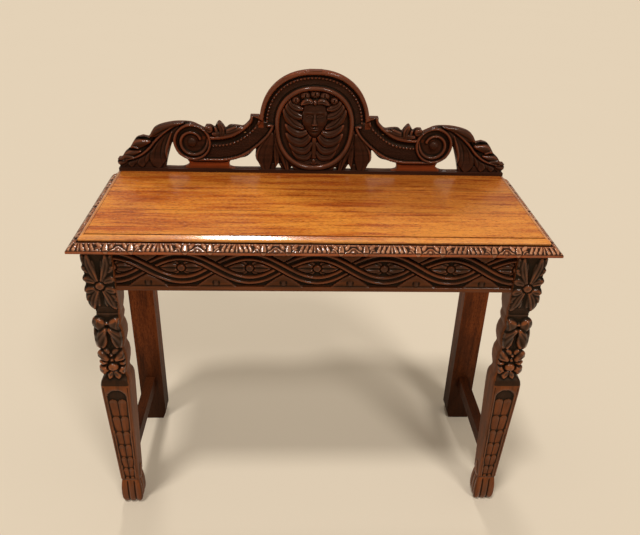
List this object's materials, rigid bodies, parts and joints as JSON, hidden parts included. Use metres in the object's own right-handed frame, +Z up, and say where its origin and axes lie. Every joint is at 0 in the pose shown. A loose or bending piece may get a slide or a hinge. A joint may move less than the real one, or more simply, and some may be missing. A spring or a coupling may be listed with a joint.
{
  "type": "hall table",
  "caption": "Narrow carved wooden hall table with a scrolled crest along the back, carved front legs, plain back legs and low side stretchers.",
  "frame": {"origin": "on the floor, at the middle of the table's width and depth", "axes": "+Z up, +X to the right seen from the front, -Y towards the front, +Y towards the wall"},
  "size_m": [1.016, 0.406, 1.026],
  "materials": {
    "top_oak": "polished oak, orange brown",
    "dark_oak": "dark stained carved oak, waxed",
    "brown_oak": "red brown stained oak",
    "inner_wood": "bare softwood",
    "screw_steel": "plain steel"
  },
  "bodies": {
    "root": {"top_board_front": "top_oak", "top_board_middle": "top_oak", "top_board_rear": "top_oak", "edge_moulding_front": "dark_oak", "edge_moulding_left": "dark_oak", "edge_moulding_right": "dark_oak", "front_frieze": "dark_oak", "front_leg_left": "dark_oak", "front_leg_right": "dark_oak", "crest_rail": "dark_oak", "crest_centre": "dark_oak", "crest_wing_left": "dark_oak", "crest_wing_right": "dark_oak", "crest_mask": "dark_oak", "crest_bosses": "dark_oak", "back_leg_left": "brown_oak", "back_leg_right": "brown_oak", "side_rail_left": "brown_oak", "side_rail_right": "brown_oak", "side_stretcher_left": "brown_oak", "side_stretcher_right": "brown_oak", "back_rail": "brown_oak", "top_tongues": "inner_wood", "top_blocks": "inner_wood", "crest_dowels": "inner_wood", "crest_edge_dowels": "inner_wood", "top_screws": "screw_steel"}
  },
  "joints": []
}
